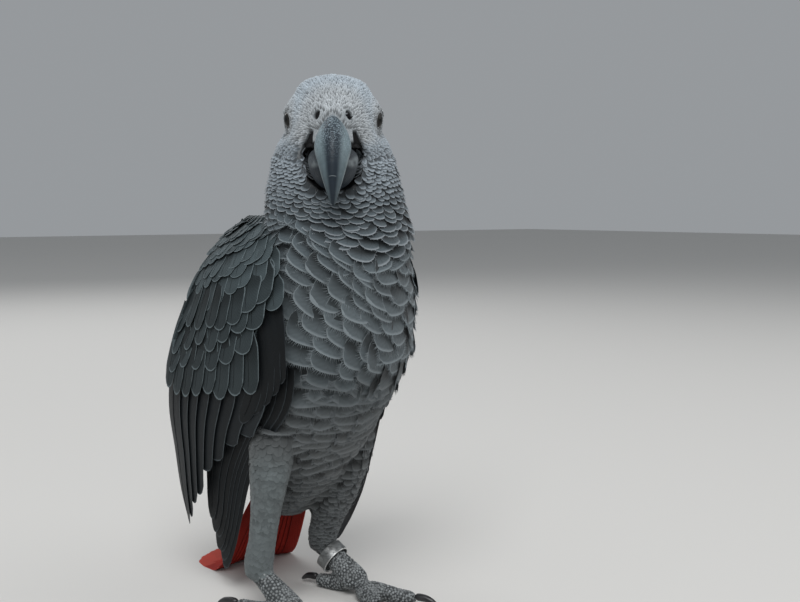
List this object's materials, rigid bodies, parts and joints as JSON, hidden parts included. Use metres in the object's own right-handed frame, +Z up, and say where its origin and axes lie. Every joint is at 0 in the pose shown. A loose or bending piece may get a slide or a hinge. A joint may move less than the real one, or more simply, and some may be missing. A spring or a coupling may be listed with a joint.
{
  "type": "grey parrot",
  "caption": "Life-size grey parrot standing upright with its head turned, wings a little open, red tail laid on the floor, plain ring on one leg.",
  "frame": {"origin": "middle of the bounding box's footprint, on the floor under the toes and tail", "axes": "+Z up, the body faces -Y, +X is the bird's own left"},
  "size_m": [0.0962, 0.1402, 0.2184],
  "materials": {
    "head_feathers": "pale grey small feathers, whitish bare skin round the eye and bill",
    "neck_feathers": "mid grey feathers with lighter edges",
    "body_feathers": "mid grey broad feathers with paler fringes",
    "thigh_feathers": "smooth pale grey short feathers",
    "wing_feathers": "dark slate feathers with thin light edges",
    "flight_feathers": "near-black slate vanes",
    "tail_feathers": "deep red vanes with brownish parts",
    "bill_horn": "satin black-grey horn, powdery at the base",
    "eye": "wet, dark with a grey-yellow iris",
    "foot_scales": "matt grey scales",
    "claw_horn": "satin black horn",
    "ring_metal": "dull worn metal, plain"
  },
  "bodies": {
    "root": {"head": "head_feathers", "neck": "neck_feathers", "trunk": "body_feathers", "rump": "body_feathers", "bill_upper": "bill_horn", "bill_lower": "bill_horn", "eye_right": "eye", "eye_left": "eye", "wing_right_scapulars": "wing_feathers", "wing_right_arm": "wing_feathers", "wing_right_coverts": "wing_feathers", "wing_right_secondaries": "flight_feathers", "wing_right_primaries": "flight_feathers", "wing_right_alula": "flight_feathers", "wing_left_scapulars": "wing_feathers", "wing_left_arm": "wing_feathers", "wing_left_coverts": "wing_feathers", "wing_left_secondaries": "flight_feathers", "wing_left_primaries": "flight_feathers", "wing_left_alula": "flight_feathers", "tail_right": "tail_feathers", "tail_left": "tail_feathers", "thigh_right": "thigh_feathers", "shank_right": "foot_scales", "toe_right_hallux": "foot_scales", "claw_right_hallux": "claw_horn", "toe_right_inner": "foot_scales", "claw_right_inner": "claw_horn", "toe_right_middle": "foot_scales", "claw_right_middle": "claw_horn", "toe_right_outer": "foot_scales", "claw_right_outer": "claw_horn", "thigh_left": "thigh_feathers", "shank_left": "foot_scales", "toe_left_hallux": "foot_scales", "claw_left_hallux": "claw_horn", "toe_left_inner": "foot_scales", "claw_left_inner": "claw_horn", "toe_left_middle": "foot_scales", "claw_left_middle": "claw_horn", "toe_left_outer": "foot_scales", "claw_left_outer": "claw_horn", "leg_ring": "ring_metal"}
  },
  "joints": []
}
